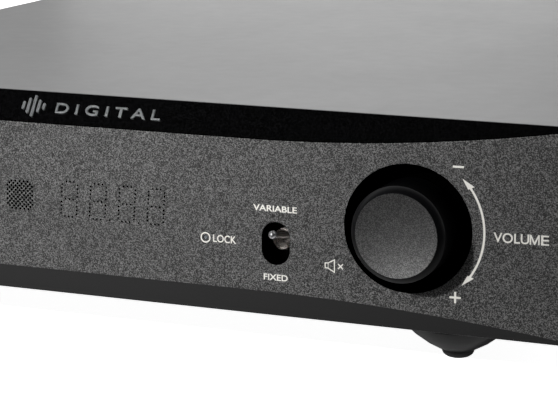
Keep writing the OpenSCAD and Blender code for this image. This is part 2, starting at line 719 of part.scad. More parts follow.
// Rocker: a shallow V of two sloping faces over its pivot pin
module power_rocker() color([0.12, 0.12, 0.12]) at_rear()
    translate([switch_x, rocker_pivot_y, switch_z]) rotate([rocker_tilt, 0, 0]) {
        reach = 7.6;
        translate([-rocker_w / 2, 0, 0]) rotate([90, 0, 90]) linear_extrude(height = rocker_w)
            polygon([[-2.4, -3], [-2.4, 3], [2, reach], [5.2, reach - 0.6], [3.9, 0],
                     [5.2, 0.6 - reach], [2, -reach]]);
        bar_x(-rocker_w / 2 - 0.7, 0, 0, rocker_w + 1.4, 1);
    }

// ---- Phono jacks ----

module jack_shells() color([0.85, 0.7, 0.3]) at_rear() for (s = jack_spots) difference() {
    wall = 0.75;
    union() {
        hex_y(s[0], 0, s[1], 2.2, 6.8);
        bar_y(s[0], -8, s[1], 8, 4.8);
        bar_y(s[0], 2.2 - eps, s[1], jack_out - 2.2 + eps, jack_r);
    }
    bar_y(s[0], -9, s[1], jack_out + 10, jack_r - wall);
}

module jack_insulators() color([0.92, 0.92, 0.9]) at_rear() for (s = jack_spots) difference() {
    bar_y(s[0], -8, s[1], jack_out + 7.4, jack_r - 0.8);
    bar_y(s[0], 1, s[1], jack_out, 1.6);
}

// ---- XLR outputs ----

module xlr_shells() color([0.3, 0.3, 0.3]) at_rear() for (x = xlr_x) difference() {
    cup_r = 9.2;
    key_w = 3;
    union() {
        plate_y(x, 0, xlr_z, 26, 31, 1.5, 3);
        bar_y(x, -16, xlr_z, 20, 11);
    }
    bar_y(x, -10, xlr_z, 20, cup_r);
    for (s = [-1, 1]) bar_y(x + s * 9.5, -1, xlr_z - s * 12, 4, m3_clear_r);
    block([x - key_w / 2, -10, xlr_z], [x + key_w / 2, 5, xlr_z + cup_r + 0.9]);
}

module xlr_pins() color([0.85, 0.85, 0.8]) at_rear() for (x = xlr_x, p = [[-4, 0], [4, 0], [0, -4]]) {
    pin_r = 1.2;
    bar_y(x + p[0], -10, xlr_z + p[1], 11, pin_r);
    bar_y(x + p[0], 1 - eps, xlr_z + p[1], 0.8, pin_r, 0.5);
}

// ---- USB and optical sockets ----

module usb_shell() color([0.75, 0.75, 0.76]) at_rear() difference() {
    block([usb_x - 6, -15, usb_z - 5.5], [usb_x + 6, 1, usb_z + 5.5]);
    // opening with its two bevelled upper corners
    difference() {
        block([usb_x - 4.25, -10, usb_z - 3.9], [usb_x + 4.25, 2, usb_z + 3.9]);
        for (s = [-1, 1]) translate([usb_x + s * 4.25, -10, usb_z + 3.9])
            rotate([0, 45, 0]) cube([2.2, 40, 2.2], center = true);
    }
}

module usb_tongue() color([0.92, 0.92, 0.92]) at_rear()
    block([usb_x - 2.8, -10, usb_z - 1.6], [usb_x + 2.8, 0, usb_z + 1.6]);

cave_w = 9.6;
cave_h = 9;
hinge_y = 0;
hinge_z = optical_z + cave_h / 2 - 0.9;
hinge_r = 0.5;

module optical_socket() color([0.07, 0.07, 0.07]) at_rear() difference() {
    union() {
        plate_y(optical_x, 0, optical_z, 15.4, 14.4, 1.4, 1.5);
        block([optical_x - 6.4, -14, optical_z - 5.9], [optical_x + 6.4, eps, optical_z + 5.9]);
    }
    block([optical_x - cave_w / 2, -12, optical_z - cave_h / 2], [optical_x + cave_w / 2, 2, optical_z + cave_h / 2]);
    bar_x(optical_x - cave_w / 2 - 0.8, hinge_y, hinge_z, cave_w + 1.6, hinge_r + running_gap);
}

// Dust flap that swings inwards from its upper edge
module optical_shutter() color([0.12, 0.12, 0.12]) at_rear() {
    flap_w = cave_w - 0.6;
    bar_x(optical_x - cave_w / 2 - 0.6, hinge_y, hinge_z, cave_w + 1.2, hinge_r);
    block([optical_x - flap_w / 2, hinge_y - 0.5, optical_z - cave_h / 2 + 0.4],
          [optical_x + flap_w / 2, hinge_y + 0.5, hinge_z]);
}

front_panel();
volume_knob();
knob_grub_screw();
encoder_shaft();
push_plunger();
encoder_bush();
encoder_nut();
encoder_body();
toggle_lever();
toggle_bush();
toggle_body();
display_window();
display_module();
ir_receiver();
lock_light_pipe();
front_board();
front_board_posts();
front_board_screws();
panel_brackets();
panel_screws();
base_tray();
top_cover();
rear_panel();
cover_screws();
rear_screws();
foot_cones();
foot_pads();
foot_screws();
transformer_pads();
toroidal_transformer();
transformer_plate();
transformer_bolt();
power_board();
filter_capacitors();
regulator_heatsink();
bridge_rectifier();
main_board();
board_posts();
board_screws();
dac_chip();
digital_chips();
op_amps();
output_relays();
front_ribbon_cable();
transformer_leads();
mains_leads();
mains_inlet();
inlet_pins();
fuse_drawer();
fuse();
power_switch_frame();
power_rocker();
jack_shells();
jack_insulators();
xlr_shells();
xlr_pins();
usb_shell();
usb_tongue();
optical_socket();
optical_shutter();
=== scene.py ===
import json
import math

import bmesh
import bpy
from mathutils import Matrix, Vector

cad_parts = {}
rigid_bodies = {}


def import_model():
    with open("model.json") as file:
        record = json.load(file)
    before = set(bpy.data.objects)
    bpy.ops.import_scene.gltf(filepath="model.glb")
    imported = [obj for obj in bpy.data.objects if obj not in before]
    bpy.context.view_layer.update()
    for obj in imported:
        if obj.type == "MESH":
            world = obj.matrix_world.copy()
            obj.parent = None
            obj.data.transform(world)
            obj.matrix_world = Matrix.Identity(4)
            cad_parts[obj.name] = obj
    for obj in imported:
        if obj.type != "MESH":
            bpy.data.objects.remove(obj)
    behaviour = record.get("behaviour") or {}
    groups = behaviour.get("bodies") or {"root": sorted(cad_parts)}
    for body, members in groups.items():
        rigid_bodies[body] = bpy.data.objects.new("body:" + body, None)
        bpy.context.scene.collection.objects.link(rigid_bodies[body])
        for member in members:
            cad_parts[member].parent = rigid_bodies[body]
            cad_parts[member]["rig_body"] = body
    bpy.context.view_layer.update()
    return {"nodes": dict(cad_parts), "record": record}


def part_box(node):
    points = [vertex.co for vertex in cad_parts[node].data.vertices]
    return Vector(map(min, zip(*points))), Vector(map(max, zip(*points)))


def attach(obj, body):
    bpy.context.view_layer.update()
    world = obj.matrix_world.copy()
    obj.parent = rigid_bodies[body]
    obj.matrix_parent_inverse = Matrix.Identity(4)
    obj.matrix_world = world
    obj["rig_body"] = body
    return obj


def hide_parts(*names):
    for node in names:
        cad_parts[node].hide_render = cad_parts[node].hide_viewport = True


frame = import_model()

NODES = frame["nodes"]
SCENE = bpy.context.scene
MM = 0.001

# ---- Places, from the frame ----


def middle(node):
    """Centre of a CAD node's box."""
    low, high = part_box(node)
    return (low + high) / 2


PANEL_LOW, PANEL_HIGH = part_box("front_panel")
FACE_Y = PANEL_LOW.y
BASE_Z = PANEL_LOW.z
TOP_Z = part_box("top_cover")[1].z
REAR_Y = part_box("rear_panel")[1].y
HALF_W = PANEL_HIGH.x
KNOB = middle("volume_knob")
SLOT = middle("toggle_bush")
LAMP = middle("lock_light_pipe")
DISPLAY = middle("display_module")
RECEIVER = middle("ir_receiver")

# Front shape, as in the part's source
FLAT_HALF = 32 * MM
BOW_DEPTH = 5 * MM
BOW_RUN = HALF_W - FLAT_HALF
BOW_R = (BOW_RUN ** 2 + BOW_DEPTH ** 2) / (2 * BOW_DEPTH)
CHAMFER_D = 5 * MM
CHAMFER_H = 7.3 * MM
RECESS_R = 15.3 * MM
SKIN = 2 * MM


def bow(x):
    """How far the face lies behind its flat middle at x."""
    past = max(0.0, abs(x) - FLAT_HALF)
    return BOW_R - math.sqrt(BOW_R ** 2 - past ** 2)


def face_point(u, v, w):
    """Point on the front face: u along X, v up from the body's underside, w out of the face."""
    return Vector((u, FACE_Y + bow(u) - w, BASE_Z + v))


def rear_point(u, v, w):
    """Point on the rear panel, read from behind: u runs towards -X."""
    return Vector((-u, REAR_Y + w, BASE_Z + v))


CHAMFER_UP = Vector((0, CHAMFER_D, CHAMFER_H)).normalized()
CHAMFER_OUT = Vector((0, -CHAMFER_H, CHAMFER_D)).normalized()
CHAMFER_FOOT = Vector((0, FACE_Y, TOP_Z - CHAMFER_H))


def chamfer_point(u, v, w):
    """Point on the long chamfer over the face: v runs up the slope, w out of it."""
    return CHAMFER_FOOT + Vector((u, 0, 0)) + CHAMFER_UP * v + CHAMFER_OUT * w


# ---- Materials ----


class Finish:
    """One procedural material, made of a Principled shader and the nodes that feed it."""

    def __init__(self, name, roughness, metallic=0.0, **sockets):
        """sockets gives other shader values, with _ for a space in the socket's name."""
        self.material = bpy.data.materials.new(name)
        self.material.use_nodes = True
        self.nodes = self.material.node_tree.nodes
        self.links = self.material.node_tree.links
        self.shader = self.nodes["Principled BSDF"]
        self.shader.inputs["Roughness"].default_value = roughness
        self.shader.inputs["Metallic"].default_value = metallic
        for socket, value in sockets.items():
            self.shader.inputs[socket.replace("_", " ")].default_value = value
        self.place = self.add("ShaderNodeTexCoord").outputs["Object"]
        self.height = None

    def add(self, kind, **settings):
        """A new node with the given settings."""
        node = self.nodes.new(kind)
        for key, value in settings.items():
            setattr(node, key, value)
        return node

    def noise(self, size_mm, detail=2.0, stretch=(1, 1, 1)):
        """Noise from 0 to 1 with features of about size_mm, drawn out along an axis by stretch."""
        scaled = self.add("ShaderNodeVectorMath", operation="MULTIPLY")
        scaled.inputs[1].default_value = [1 / (size_mm * MM * s) for s in stretch]
        self.links.new(self.place, scaled.inputs[0])
        texture = self.add("ShaderNodeTexNoise")
        texture.inputs["Scale"].default_value = 1
        texture.inputs["Detail"].default_value = detail
        self.links.new(scaled.outputs[0], texture.inputs["Vector"])
        return texture.outputs["Fac"]

    def crystals(self, size_mm):
        """A random value from 0 to 1 for each cell of about size_mm, as in a blasted surface."""
        texture = self.add("ShaderNodeTexVoronoi")
        texture.inputs["Scale"].default_value = 1 / (size_mm * MM)
        self.links.new(self.place, texture.inputs["Vector"])
        split = self.add("ShaderNodeSeparateColor")
        self.links.new(texture.outputs["Color"], split.inputs[0])
        return split.outputs[0]

    def grooves(self, pitch_mm, axis):
        """Fine turned grooves across the given axis."""
        texture = self.add("ShaderNodeTexWave", bands_direction=axis)
        texture.inputs["Scale"].default_value = 0.314 / (pitch_mm * MM)
        texture.inputs["Distortion"].default_value = 0.6
        texture.inputs["Detail"].default_value = 1
        self.links.new(self.place, texture.inputs["Vector"])
        return texture.outputs["Fac"]

    def span(self, source, low, high, start=0.3, end=0.7):
        """source, spread so that start gives low and end gives high."""
        node = self.add("ShaderNodeMapRange")
        for socket, value in (("From Min", start), ("From Max", end), ("To Min", low), ("To Max", high)):
            node.inputs[socket].default_value = value
        self.links.new(source, node.inputs["Value"])
        return node.outputs["Result"]

    def maths(self, operation, a, b):
        """a and b put together; a is an output, and b an output or a number."""
        node = self.add("ShaderNodeMath", operation=operation)
        self.links.new(a, node.inputs[0])
        if isinstance(b, float):
            node.inputs[1].default_value = b
        else:
            self.links.new(b, node.inputs[1])
        return node.outputs[0]

    def colours(self, factor, dark, light):
        """Colour from dark to light by factor."""
        node = self.add("ShaderNodeMix", data_type="RGBA")
        node.inputs["A"].default_value = (*dark, 1)
        node.inputs["B"].default_value = (*light, 1)
        self.links.new(factor, node.inputs["Factor"])
        return node.outputs["Result"]

    def paint(self, colour):
        self.links.new(colour, self.shader.inputs["Base Color"])

    def polish(self, roughness):
        self.links.new(roughness, self.shader.inputs["Roughness"])

    def relief(self, source, depth_mm):
        """Adds a bump of the given depth over the ones already there."""
        node = self.add("ShaderNodeBump")
        node.inputs["Strength"].default_value = 1.0
        node.inputs["Distance"].default_value = depth_mm * MM
        self.links.new(source, node.inputs["Height"])
        if self.height is not None:
            self.links.new(self.height, node.inputs["Normal"])
        self.height = node.outputs["Normal"]
        self.links.new(self.height, self.shader.inputs["Normal"])


def shade(colour, factor):
    """The colour made darker or lighter by factor."""
    return [min(1.0, c * factor) for c in colour]


SATIN_CONTRAST = 0.12


def blasted(name, colour, roughness, grain=0.26, contrast=1.0, depth=0.06, metallic=0.0, **sockets):
    """Sandblasted anodised metal: each grain has its own tone and tilt."""
    made = Finish(name, roughness, metallic, **sockets)
    fine = made.noise(grain, 3)
    cells = made.crystals(grain * 0.8)
    mixed = made.maths("ADD", made.maths("MULTIPLY", fine, 0.7), made.maths("MULTIPLY", cells, 0.3))
    broad = made.span(made.noise(22, 3), 0.9, 1.1)
    tone = made.maths("MULTIPLY", made.span(mixed, 0.0, 1.0, 0.46, 0.63), broad)
    made.paint(made.colours(tone, shade(colour, 1 - 0.8 * contrast), shade(colour, 1 + 1.6 * contrast)))
    made.polish(made.span(made.noise(grain * 2.2), roughness * 0.85, roughness * 1.15))
    made.relief(mixed, depth)
    return made.material


def satin(name, colour, roughness, depth, grain=0.5, metallic=0.0, **sockets):
    """Smooth satin coat with a fine grain, slow changes of gloss and faint scuffs."""
    dark, light = shade(colour, 1 - SATIN_CONTRAST), shade(colour, 1 + SATIN_CONTRAST)
    made = Finish(name, roughness, metallic, **sockets)
    fine = made.noise(grain, 3)
    broad = made.noise(35, 4)
    scuffs = made.noise(5, 5)
    tone = made.maths("ADD", made.maths("MULTIPLY", fine, 0.6), made.maths("MULTIPLY", broad, 0.4))
    made.paint(made.colours(made.span(tone, 0.0, 1.0), dark, light))
    slow_gloss = made.span(broad, roughness - 0.01, roughness + 0.01)
    made.polish(made.maths("ADD", slow_gloss, made.span(scuffs, -0.01, 0.01)))
    made.relief(fine, depth)
    return made.material


def moulded(name, colour, roughness, texture=0.35, depth=0.012, **sockets):
    """Moulded plastic or rubber: an eroded texture, faint flow lines and a dusting of lighter specks."""
    made = Finish(name, roughness, 0.0, **sockets)
    fine = made.noise(texture, 4)
    flow = made.noise(7, 3, (3, 1, 1))
    specks = made.span(made.noise(0.9, 5), 0.0, 1.0, 0.6, 0.75)
    tone = made.maths("ADD", made.maths("MULTIPLY", flow, 0.7), made.maths("MULTIPLY", specks, 0.3))
    spread = made.span(tone, 0.0, 1.0, 0.2, 0.8)
    made.paint(made.colours(spread, shade(colour, 0.82), shade(colour, 1.25)))
    made.polish(made.span(fine, roughness - 0.07, roughness + 0.1))
    made.relief(fine, depth)
    return made.material


def machined(name, colour, roughness, pitch, axis="Y", depth=0.004, **sockets):
    """Turned or plated bare metal with fine tool marks across an axis."""
    made = Finish(name, roughness, 1.0, **sockets)
    turned = made.grooves(pitch, axis)
    tarnish = made.noise(4, 4)
    made.paint(made.colours(made.span(tarnish, 0.0, 1.0), shade(colour, 0.8), shade(colour, 1.08)))
    made.polish(made.span(made.noise(1.1, 4), roughness - 0.08, roughness + 0.12))
    made.relief(turned, depth)
    return made.material


def sheet_steel(name, colour):
    """Zinc-plated sheet: rolled lines along X and faint cloudy crystals."""
    made = Finish(name, 0.36, 1.0)
    rolled = made.noise(0.25, 3, (40, 1, 1))
    cloudy = made.crystals(5)
    tone = made.maths("ADD", made.maths("MULTIPLY", rolled, 0.5), made.maths("MULTIPLY", cloudy, 0.5))
    made.paint(made.colours(tone, shade(colour, 0.85), shade(colour, 1.1)))
    made.polish(made.span(rolled, 0.28, 0.46))
    made.relief(rolled, 0.004)
    return made.material


def board_green(name):
    """Solder resist over faint tracks."""
    made = Finish(name, 0.32)
    tracks = made.span(made.noise(1.6, 0, (1, 6, 1)), 0.0, 1.0, 0.47, 0.53)
    made.paint(made.colours(tracks, (0.012, 0.09, 0.04), (0.03, 0.2, 0.08)))
    made.polish(made.span(made.noise(9, 3), 0.26, 0.4))
    made.relief(tracks, 0.03)
    return made.material


def wound_tape(name):
    """Overlapping turns of clear amber tape over copper."""
    made = Finish(name, 0.28, Coat_Weight=0.4)
    turns = made.noise(1.4, 2, (1, 1, 9))
    made.paint(made.colours(turns, (0.5, 0.28, 0.04), (0.85, 0.6, 0.14)))
    made.polish(made.span(made.noise(2), 0.2, 0.4))
    made.relief(turns, 0.15)
    return made.material


def clear_plastic(name, tint, roughness, strength=0.85):
    """Clear or smoked plastic with slow waves and fine scuffs."""
    made = Finish(name, roughness, 0.0, Transmission_Weight=strength, IOR=1.49)
    scuffs = made.noise(0.8, 4, (1, 1, 5))
    made.paint(made.colours(scuffs, shade(tint, 0.85), shade(tint, 1.1)))
    made.polish(made.span(scuffs, roughness, roughness + 0.08))
    made.relief(made.noise(6, 2), 0.02)
    return made.material


def printed_ink(name, colour):
    """Screen-printed ink: slightly uneven in tone, with the mesh's fine texture."""
    made = Finish(name, 0.55)
    mesh_print = made.noise(0.12, 2)
    made.paint(made.colours(made.span(mesh_print, 0.0, 1.0), shade(colour, 0.9), shade(colour, 1.06)))
    made.polish(made.span(made.noise(0.6), 0.47, 0.63))
    made.relief(mesh_print, 0.004)
    return made.material


IVORY = (0.72, 0.705, 0.66)
M = {
    "panel_black": blasted("panel_blasted", (0.064, 0.0635, 0.063), 0.5),
    "panel_chamfer": blasted("panel_chamfer", (0.0012, 0.0012, 0.0013), 0.12, 0.26, 0.95, 0.008),
    # Painted shade: black with no reflection inside the knob's recess and the switch slot, where shade
    # falls.
    "recess": satin("recess_painted_shade", (0.0002, 0.0002, 0.0002), 0.6, 0.01, Specular_IOR_Level=0.0),
    "cover_grey": satin("cover_satin", (0.07, 0.07, 0.071), 0.36, 0.01, grain=0.4),
    "knob_grey": blasted("knob_blasted", (0.36, 0.358, 0.356), 0.4, 0.22, 0.4, 0.02, metallic=1.0),
    # Knob's side and bevel: a dark finish, darkened further and with weak reflection as painted shade.
    "knob_side_painted_shade": satin("knob_side_painted_shade", (0.0015, 0.0015, 0.0018), 0.3, 0.003, Specular_IOR_Level=0.2),
    "knob_edge": machined("knob_cut_edge", (0.06, 0.06, 0.062), 0.45, 0.2),
    "chassis_black": blasted("chassis_powder_coat", (0.03, 0.03, 0.031), 0.48, grain=0.7, contrast=0.2),
    "steel": sheet_steel("zinc_plated_steel", (0.6, 0.6, 0.62)),
    "screw_black": machined("black_oxide", (0.06, 0.06, 0.065), 0.4, 0.3, "Y", 0.01),
    "chrome_bright": machined("bright_chrome", (0.95, 0.96, 0.98), 0.32, 0.5, "Y", 0.001),
    "gold_contact": machined("gold_plate", (0.86, 0.62, 0.24), 0.2, 0.3),
    "brass_part": machined("machined_brass", (0.8, 0.58, 0.28), 0.24, 0.35),
    "nickel": machined("nickel_plate", (0.72, 0.69, 0.65), 0.36, 0.3, "Y", 0.003),
    "bush": machined("plated_thread", (0.95, 0.86, 0.8), 0.26, 0.5, "Y", 0.25),
    "black_plastic": moulded("black_moulded", (0.022, 0.022, 0.023), 0.42),
    "white_plastic": moulded("white_moulded", (0.72, 0.71, 0.67), 0.32, depth=0.004),
    "smoked_window": clear_plastic("smoked_window", (0.03, 0.03, 0.035), 0.06, 0.5),
    "clear_light": clear_plastic("clear_light_pipe", (0.85, 0.9, 0.95), 0.08),
    "rubber_black": moulded("rubber", (0.014, 0.014, 0.014), 0.75, 0.25, 0.02),
    "foot_black": satin("satin_black_foot", (0.0025, 0.0025, 0.0025), 0.34, 0.006, Specular_IOR_Level=0.35),
    "circuit_green": board_green("circuit_green"),
    "winding": wound_tape("wound_tape"),
    "capacitor_sleeve": moulded("capacitor_sleeve", (0.03, 0.04, 0.13), 0.25, 0.5, 0.004),
    "heatsink_black": machined("extruded_black", (0.03, 0.03, 0.03), 0.42, 0.4, "X", 0.01),
    "chip_black": moulded("chip_epoxy", (0.02, 0.02, 0.021), 0.5),
    "ribbon_grey": moulded("ribbon_cable", (0.36, 0.36, 0.38), 0.45, 1.2, 0.15),
    "wire_red": moulded("wire_red", (0.5, 0.03, 0.025), 0.35),
    "wire_brown": moulded("wire_brown", (0.16, 0.07, 0.03), 0.35),
    "fuse_glass": clear_plastic("fuse_glass", (0.9, 0.95, 0.95), 0.03, 0.9),
    "ink": printed_ink("printed_ivory", IVORY),
    "badge": satin("badge_chrome", (0.86, 0.9, 0.92), 0.37, 0.002, metallic=1.0),
}
SLOT_OF = {row["node"]: row["material_slot"] for row in frame["record"]["subparts"]}
for node, shape in NODES.items():
    shape.data.materials.clear()
    shape.data.materials.append(M[SLOT_OF[node]])

# ---- Mesh tools ----


def place(name, mesh, body, slot, materials, stands_for=()):
    """A finished piece: linked, painted, riding on its body and standing for its CAD nodes."""
    piece = bpy.data.objects.new(name, mesh)
    SCENE.collection.objects.link(piece)
    mesh.materials.clear()
    for material in materials:
        mesh.materials.append(material)
    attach(piece, body)
    if stands_for:
        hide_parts(*stands_for)
    return piece


def to_mesh(name, bm, smooth_below=35):
    """Ends a bmesh: outward normals, and smooth shading up to the given angle in degrees."""
    bmesh.ops.recalc_face_normals(bm, faces=bm.faces)
    mesh = bpy.data.meshes.new(name)
    bm.to_mesh(mesh)
    bm.free()
    mesh.polygons.foreach_set("use_smooth", [True] * len(mesh.polygons))
    mesh.set_sharp_from_angle(angle=math.radians(smooth_below))
    return mesh


def cad_copy(node):
    """The CAD node's solid as a bmesh, with its split corners merged and its flats whole."""
    bm = bmesh.new()
    bm.from_mesh(NODES[node].data)
    bmesh.ops.remove_doubles(bm, verts=bm.verts, dist=1e-6)
    bmesh.ops.dissolve_limit(bm, angle_limit=math.radians(0.3), verts=bm.verts, edges=bm.edges)
    return bm


def round_edges(bm, width, segments=2, wanted=lambda edge: True, sharp=30):
    """Rounds the wanted edges that turn by more than sharp degrees."""
    picked = []
    for edge in bm.edges:
        if len(edge.link_faces) == 2 and edge.calc_face_angle(0) > math.radians(sharp) and wanted(edge):
            picked.append(edge)
    if picked:
        bmesh.ops.bevel(bm, geom=picked, offset=width, offset_type="OFFSET", segments=segments,
                        profile=0.5, affect="EDGES", clamp_overlap=True)


def steady_normals(piece):
    """Keeps big flat faces flat beside their small round edges."""
    weighted = piece.modifiers.new("flat faces", "WEIGHTED_NORMAL")
    weighted.keep_sharp = True
    return piece


def softened(node, width_mm):
    """Stands for a CAD node with the same solid and small round edges."""
    bm = cad_copy(node)
    round_edges(bm, width_mm * MM)
    slot = SLOT_OF[node]
    name = node + "_shown"
    piece = place(name, to_mesh(name, bm), NODES[node]["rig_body"], slot, [M[slot]], [node])
    return steady_normals(piece)


def cut(mesh, cutter):
    """mesh with the closed shape cutter taken out of it."""
    pair = []
    for part in (mesh, cutter):
        shape = bpy.data.objects.new("work", part)
        SCENE.collection.objects.link(shape)
        pair.append(shape)
    boolean = pair[0].modifiers.new("cut", "BOOLEAN")
    boolean.object = pair[1]
    boolean.operation = "DIFFERENCE"
    boolean.solver = "EXACT"
    depsgraph = bpy.context.evaluated_depsgraph_get()
    result = bpy.data.meshes.new_from_object(pair[0].evaluated_get(depsgraph))
    for shape in pair:
        bpy.data.objects.remove(shape)
    return result


def circle_y(bm, axis, radius, y, steps):
    """Adds a circle's points about a line along Y."""
    ring = []
    for i in range(steps):
        angle = 2 * math.pi * i / steps
        spot = (axis.x + radius * math.cos(angle), y, axis.z + radius * math.sin(angle))
        ring.append(bm.verts.new(spot))
    return ring


def turned_y(bm, axis, profile, steps):
    """Adds a closed solid turned about a line along Y.

    profile lists (radius, y), and starts and ends on the axis.
    """
    rings = []
    for radius, y in profile:
        if radius == 0:
            rings.append([bm.verts.new((axis.x, y, axis.z))])
        else:
            rings.append(circle_y(bm, axis, radius, y, steps))
    for first, second in zip(rings, rings[1:]):
        for i in range(steps):
            j = (i + 1) % steps
            if len(first) == 1:
                bm.faces.new((first[0], second[i], second[j]))
            elif len(second) == 1:
                bm.faces.new((first[i], first[j], second[0]))
            else:
                bm.faces.new((first[i], first[j], second[j], second[i]))


def ring_y(bm, axis, profile, steps):
    """Adds a closed ring turned about a line along Y from a closed outline of (radius, y)."""
    rings = [circle_y(bm, axis, radius, y, steps) for radius, y in profile]
    for k, first in enumerate(rings):
        second = rings[(k + 1) % len(rings)]
        for i in range(steps):
            j = (i + 1) % steps
            bm.faces.new((first[i], first[j], second[j], second[i]))


def prism(bm, outline, on, low, high):
    """Adds a closed plate: outline is a list of (u, v), on gives the point at (u, v, w)."""
    lower = [bm.verts.new(on(u, v, low)) for u, v in outline]
    upper = [bm.verts.new(on(u, v, high)) for u, v in outline]
    bm.faces.new(lower)
    bm.faces.new(upper)
    for i in range(len(outline)):
        j = (i + 1) % len(outline)
        bm.faces.new((lower[i], lower[j], upper[j], upper[i]))


def stroke(bm, points, width, on, low, high, closed=False):
    """Adds a flat line of even width along (u, v) points, with mitred corners."""
    count = len(points)
    sides = [[], []]
    for i, (u, v) in enumerate(points):
        before = points[i - 1] if i or closed else None
        after = points[(i + 1) % count] if i < count - 1 or closed else None
        ways = []
        if before:
            ways.append(Vector((u - before[0], v - before[1])).normalized())
        if after:
            ways.append(Vector((after[0] - u, after[1] - v)).normalized())
        across = sum((Vector((-w.y, w.x)) for w in ways), Vector((0, 0))).normalized()
        reach = width / 2 / max(0.4, across.dot(Vector((-ways[0].y, ways[0].x))))
        for side, sign in ((0, 1), (1, -1)):
            sides[side].append((u + across.x * reach * sign, v + across.y * reach * sign))
    grid = []
    for line, w in ((sides[0], low), (sides[0], high), (sides[1], high), (sides[1], low)):
        grid.append([bm.verts.new(on(u, v, w)) for u, v in line])
    for k in range(4):
        a, b = grid[k], grid[(k + 1) % 4]
        for i in range(count if closed else count - 1):
            j = (i + 1) % count
            bm.faces.new((a[i], a[j], b[j], b[i]))
    if not closed:
        bm.faces.new([line[0] for line in grid])
        bm.faces.new([line[-1] for line in grid])


def lettering(bm, text, on, centre, cap, width, low, high, weight=0.0, bevel=0.0, spacing=1.0):
    """Adds a word in plain upright capitals, cap high and width wide, centred on (u, v)."""
    curve = bpy.data.curves.new("word", "FONT")
    curve.body = text
    curve.offset = weight
    curve.space_character = spacing
    curve.extrude = 0.5
    curve.bevel_depth = bevel
    curve.bevel_resolution = 2
    curve.resolution_u = 6
    shape = bpy.data.objects.new("word", curve)
    SCENE.collection.objects.link(shape)
    bpy.context.view_layer.update()
    mesh = bpy.data.meshes.new_from_object(shape.evaluated_get(bpy.context.evaluated_depsgraph_get()))
    xs = [v.co.x for v in mesh.vertices]
    ys = [v.co.y for v in mesh.vertices]
    zs = [v.co.z for v in mesh.vertices]
    for vertex in mesh.vertices:
        u = (vertex.co.x - min(xs)) / (max(xs) - min(xs)) - 0.5
        v = (vertex.co.y - min(ys)) / (max(ys) - min(ys)) - 0.5
        w = (vertex.co.z - min(zs)) / (max(zs) - min(zs))
        vertex.co = on(centre[0] + u * width, centre[1] + v * cap, low + w * (high - low))
    bm.from_mesh(mesh)
    bpy.data.objects.remove(shape)
    bpy.data.meshes.remove(mesh)


# ---- Front panel ----

DIGIT_HOLE_R = 0.26 * MM
GRILLE_HOLE_R = 0.31 * MM
DOT_GAP = 1.05 * MM
DIGIT_PITCH = 7.85 * MM
DIGIT_HALF_W = 2.13 * MM
DIGIT_HALF_H = 4.4 * MM
DIGIT_SLANT = 0.07
SEGMENT_GAP = 0.96 * MM
POINT_BACK = 0.45 * MM
GRID_STEP = 0.575 * MM
GRID_REACH = 6
GRID_CORNER = 10
SLOT_HALF_W = 3.6 * MM
SLOT_HALF_H = 5.3 * MM
CUT_SHARP = math.radians(20)


def digit_dots():
    """Hole centres of four dotted seven-segment digits and two decimal points, as (x, z)."""
    dots = []
    for digit in range(4):
        middle_x = DISPLAY.x + (digit - 1.5) * DIGIT_PITCH
        own = []
        for row in (-1, 0, 1):
            own += [(i * DOT_GAP, row * DIGIT_HALF_H) for i in (-1, 0, 1)]
        for side in (-1, 1):
            for half in (-1, 1):
                start = half * DIGIT_HALF_H / 2
                own += [(side * DIGIT_HALF_W, start + (i - 1.5) * SEGMENT_GAP) for i in range(4)]
        if digit in (1, 2):
            own.append((DIGIT_PITCH / 2 - POINT_BACK, -DIGIT_HALF_H))
        dots += [(middle_x + x + z * DIGIT_SLANT, DISPLAY.z + z) for x, z in own]
    return dots


def receiver_dots():
    """Hole centres of the eight-sided grille in front of the receiver, as (x, z)."""
    dots = []
    for i in range(-GRID_REACH, GRID_REACH + 1):
        for j in range(-GRID_REACH, GRID_REACH + 1):
            if (i + j) % 2 == 0 and abs(i) + abs(j) <= GRID_CORNER:
                dots.append((RECEIVER.x + i * GRID_STEP, RECEIVER.z + j * GRID_STEP))
    return dots


def drills():
    """All the small holes' cutters in one mesh."""
    bm = bmesh.new()
    top = FACE_Y - 1 * MM
    end = FACE_Y + SKIN + 0.5 * MM
    for spots, radius in ((digit_dots(), DIGIT_HOLE_R), (receiver_dots(), GRILLE_HOLE_R)):
        for x, z in spots:
            turned_y(bm, Vector((x, 0, z)), [(0, top), (radius, top), (radius, end), (0, end)], 10)
    return to_mesh("drills", bm)


def panel_region(face):
    """Which material a face takes: 0 face, 1 chamfers and ends, 2 insides of the recess and slot, black as
    painted shade.
    """
    centre = face.center
    depth = centre.y - FACE_Y - bow(centre.x)
    from_knob = math.hypot(centre.x - KNOB.x, centre.z - KNOB.z)
    # Insides of the knob's recess and of the switch slot take the black of painted shade.
    if from_knob < RECESS_R + 0.02 * MM and depth > 0.42 * MM:
        return 2
    in_slot = abs(centre.x - SLOT.x) < SLOT_HALF_W and abs(centre.z - SLOT.z) < SLOT_HALF_H
    if in_slot and depth > 0.6 * MM:
        return 2
    if face.normal.y < -0.9 and depth < 0.3 * MM:
        return 0
    if abs(face.normal.z) > 0.3 and from_knob < RECESS_R + 1 * MM:
        return 0
    return 1


def build_front_panel():
    """Front panel with all its small holes, and fine edges where they can be seen."""
    bm = cad_copy("front_panel")

    def open_to_view(edge):
        under_cover = min(v.co.z for v in edge.verts) > PANEL_HIGH.z - 0.01 * MM
        return not under_cover and min(v.co.y for v in edge.verts) < FACE_Y + 6 * MM

    round_edges(bm, 0.1 * MM, 1, open_to_view)
    mesh = cut(to_mesh("front_panel_shown", bm), drills())
    mesh.set_sharp_from_angle(angle=CUT_SHARP)
    regions = [panel_region(face) for face in mesh.polygons]
    piece = place("front_panel_shown", mesh, "root", "panel_black",
                  [M["panel_black"], M["panel_chamfer"], M["recess"]], ["front_panel"])
    mesh.polygons.foreach_set("material_index", regions)
    return steady_normals(piece)


build_front_panel()

# ---- Top cover ----

FOLD_R = 0.9 * MM


